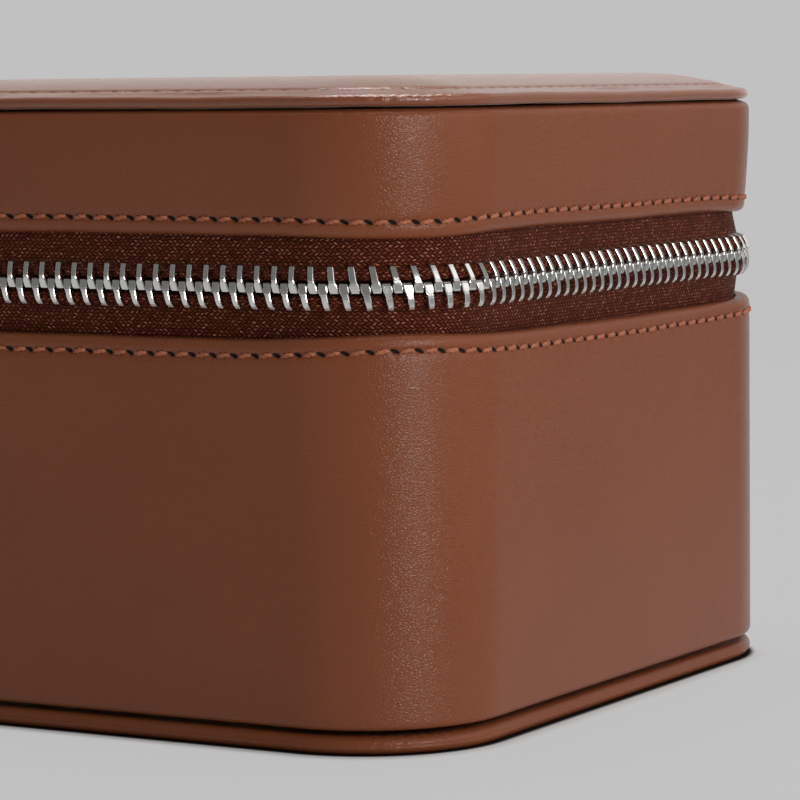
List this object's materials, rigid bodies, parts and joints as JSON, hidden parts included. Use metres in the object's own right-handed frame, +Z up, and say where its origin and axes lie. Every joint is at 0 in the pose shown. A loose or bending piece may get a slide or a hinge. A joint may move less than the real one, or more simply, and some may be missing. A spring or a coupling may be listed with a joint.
{
  "type": "leather jewellery case",
  "caption": "Zip-around leather jewellery case: padded top, hinged lid, lined base with compartments and ring rolls.",
  "frame": {"origin": "centre of the flat bottom face, on the surface that the case stands on", "axes": "+Z up, +X to the right along the front, front towards -Y, hinge along X at the back"},
  "size_m": [0.1838, 0.116, 0.089],
  "materials": {
    "leather": "smooth fine-grained brown leather, semi-matt",
    "suede_lining": "soft beige suede lining",
    "ring_suede": "beige suede over foam",
    "board": "grey pressed board",
    "foam": "soft open-cell foam",
    "zip_tape": "red-brown woven polyester tape",
    "zip_metal": "polished nickel",
    "zip_hardware": "polished nickel",
    "thread": "orange-brown two-ply thread"
  },
  "bodies": {
    "base": {"bottom_panel_leather": "leather", "bottom_panel_board": "board", "base_wall_leather": "leather", "base_wall_board": "board", "base_floor_board": "board", "base_lining_walls": "suede_lining", "base_floor_pad": "suede_lining", "cross_divider": "suede_lining", "long_divider": "suede_lining", "ring_riser": "suede_lining", "lower_zip_tape": "zip_tape", "lower_zip_teeth": "zip_metal", "lower_zip_teeth_left": "zip_metal", "lower_zip_stops": "zip_metal", "hinge_leather": "leather", "hinge_lining": "suede_lining", "ring_roll_1": "ring_suede", "ring_roll_2": "ring_suede", "ring_roll_3": "ring_suede", "ring_roll_4": "ring_suede", "ring_roll_5": "ring_suede", "ring_roll_6": "ring_suede"},
    "lid": {"lid_wall_leather": "leather", "lid_wall_board": "board", "lid_top_board": "board", "lid_lining_walls": "suede_lining", "lid_lining_pad": "suede_lining", "top_panel_leather": "leather", "top_panel_board": "board", "top_panel_pad": "foam", "upper_zip_tape": "zip_tape", "upper_zip_teeth": "zip_metal", "upper_zip_teeth_left": "zip_metal", "upper_zip_stops": "zip_metal"},
    "slider": {"zip_slider": "zip_hardware"},
    "pull": {"pull_tab": "zip_hardware"}
  },
  "joints": [
    {"name": "lid_hinge", "type": "hinge", "parent": "base", "child": "lid", "pos_m": [0, 0.05725, 0.06135], "axis": [-1, 0, 0], "range_deg": [0, 105], "deforming": ["hinge_leather", "hinge_lining"]},
    {"name": "zip_slide", "type": "slide", "parent": "base", "child": "slider", "axis": [0, -1, 0], "range_m": [0, 0.06], "deforming": ["lower_zip_teeth_left", "upper_zip_teeth_left"]},
    {"name": "pull_swing", "type": "hinge", "parent": "slider", "child": "pull", "pos_m": [-0.092, 0.0286, 0.06135], "axis": [0, 0, -1], "range_deg": [0, 170]}
  ]
}
